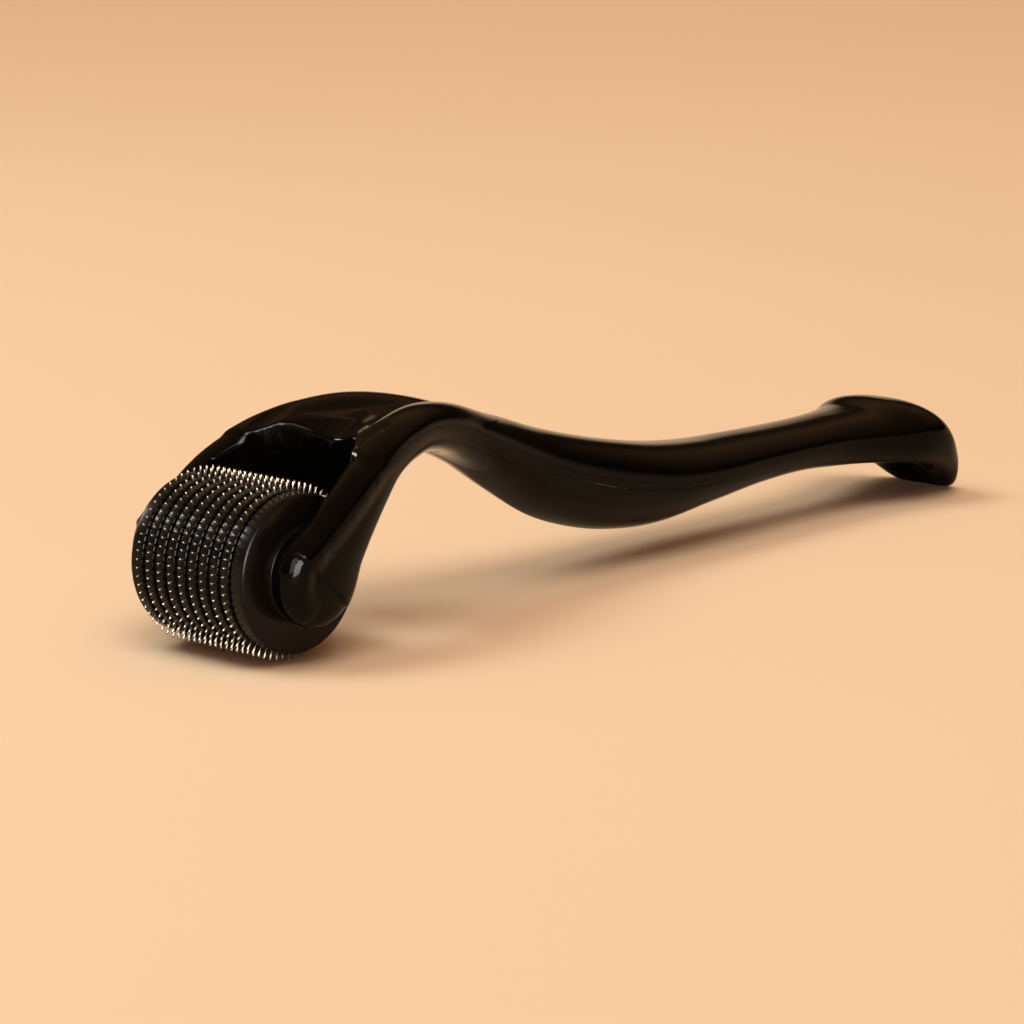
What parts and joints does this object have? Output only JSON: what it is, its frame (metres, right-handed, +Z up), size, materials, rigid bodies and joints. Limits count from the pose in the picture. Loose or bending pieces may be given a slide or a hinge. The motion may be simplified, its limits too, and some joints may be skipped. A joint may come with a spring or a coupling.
{
  "type": "derma roller",
  "caption": "Micro-needle skin roller with a swept glossy handle, a forked head and a free-spinning drum of steel needle discs.",
  "frame": {"origin": "on the floor, under the middle of the overall length, on the plane of symmetry of the handle", "axes": "+X from the drum towards the tail, +Y along the drum's axle towards the left arm, +Z up; the roller rests on its needle tips and the tip of its tail"},
  "size_m": [0.144, 0.0288, 0.0267],
  "materials": {
    "handle_gloss": "high gloss black, moulded",
    "drum_gloss": "semi-gloss black, moulded",
    "bush_plastic": "matt dark grey",
    "steel": "bright stainless steel"
  },
  "bodies": {
    "handle": {"handle_upper_shell": "handle_gloss", "handle_belly_cover": "handle_gloss", "bearing_bush_left": "bush_plastic", "bearing_bush_right": "bush_plastic"},
    "drum": {"axle_pin": "steel", "drum_core": "drum_gloss", "end_cap_left": "drum_gloss", "end_cap_right": "drum_gloss", "needle_disc_1": "steel", "needle_disc_2": "steel", "needle_disc_3": "steel", "needle_disc_4": "steel", "needle_disc_5": "steel", "needle_disc_6": "steel", "needle_disc_7": "steel", "needle_disc_8": "steel", "needle_disc_9": "steel", "spacer_ring_1": "drum_gloss", "spacer_ring_2": "drum_gloss", "spacer_ring_3": "drum_gloss", "spacer_ring_4": "drum_gloss", "spacer_ring_5": "drum_gloss", "spacer_ring_6": "drum_gloss", "spacer_ring_7": "drum_gloss", "spacer_ring_8": "drum_gloss"}
  },
  "joints": [
    {"name": "drum_spin", "type": "hinge", "parent": "handle", "child": "drum", "pos_m": [-0.0614, 0, 0.0106], "axis": [0, 1, 0], "continuous": true}
  ]
}
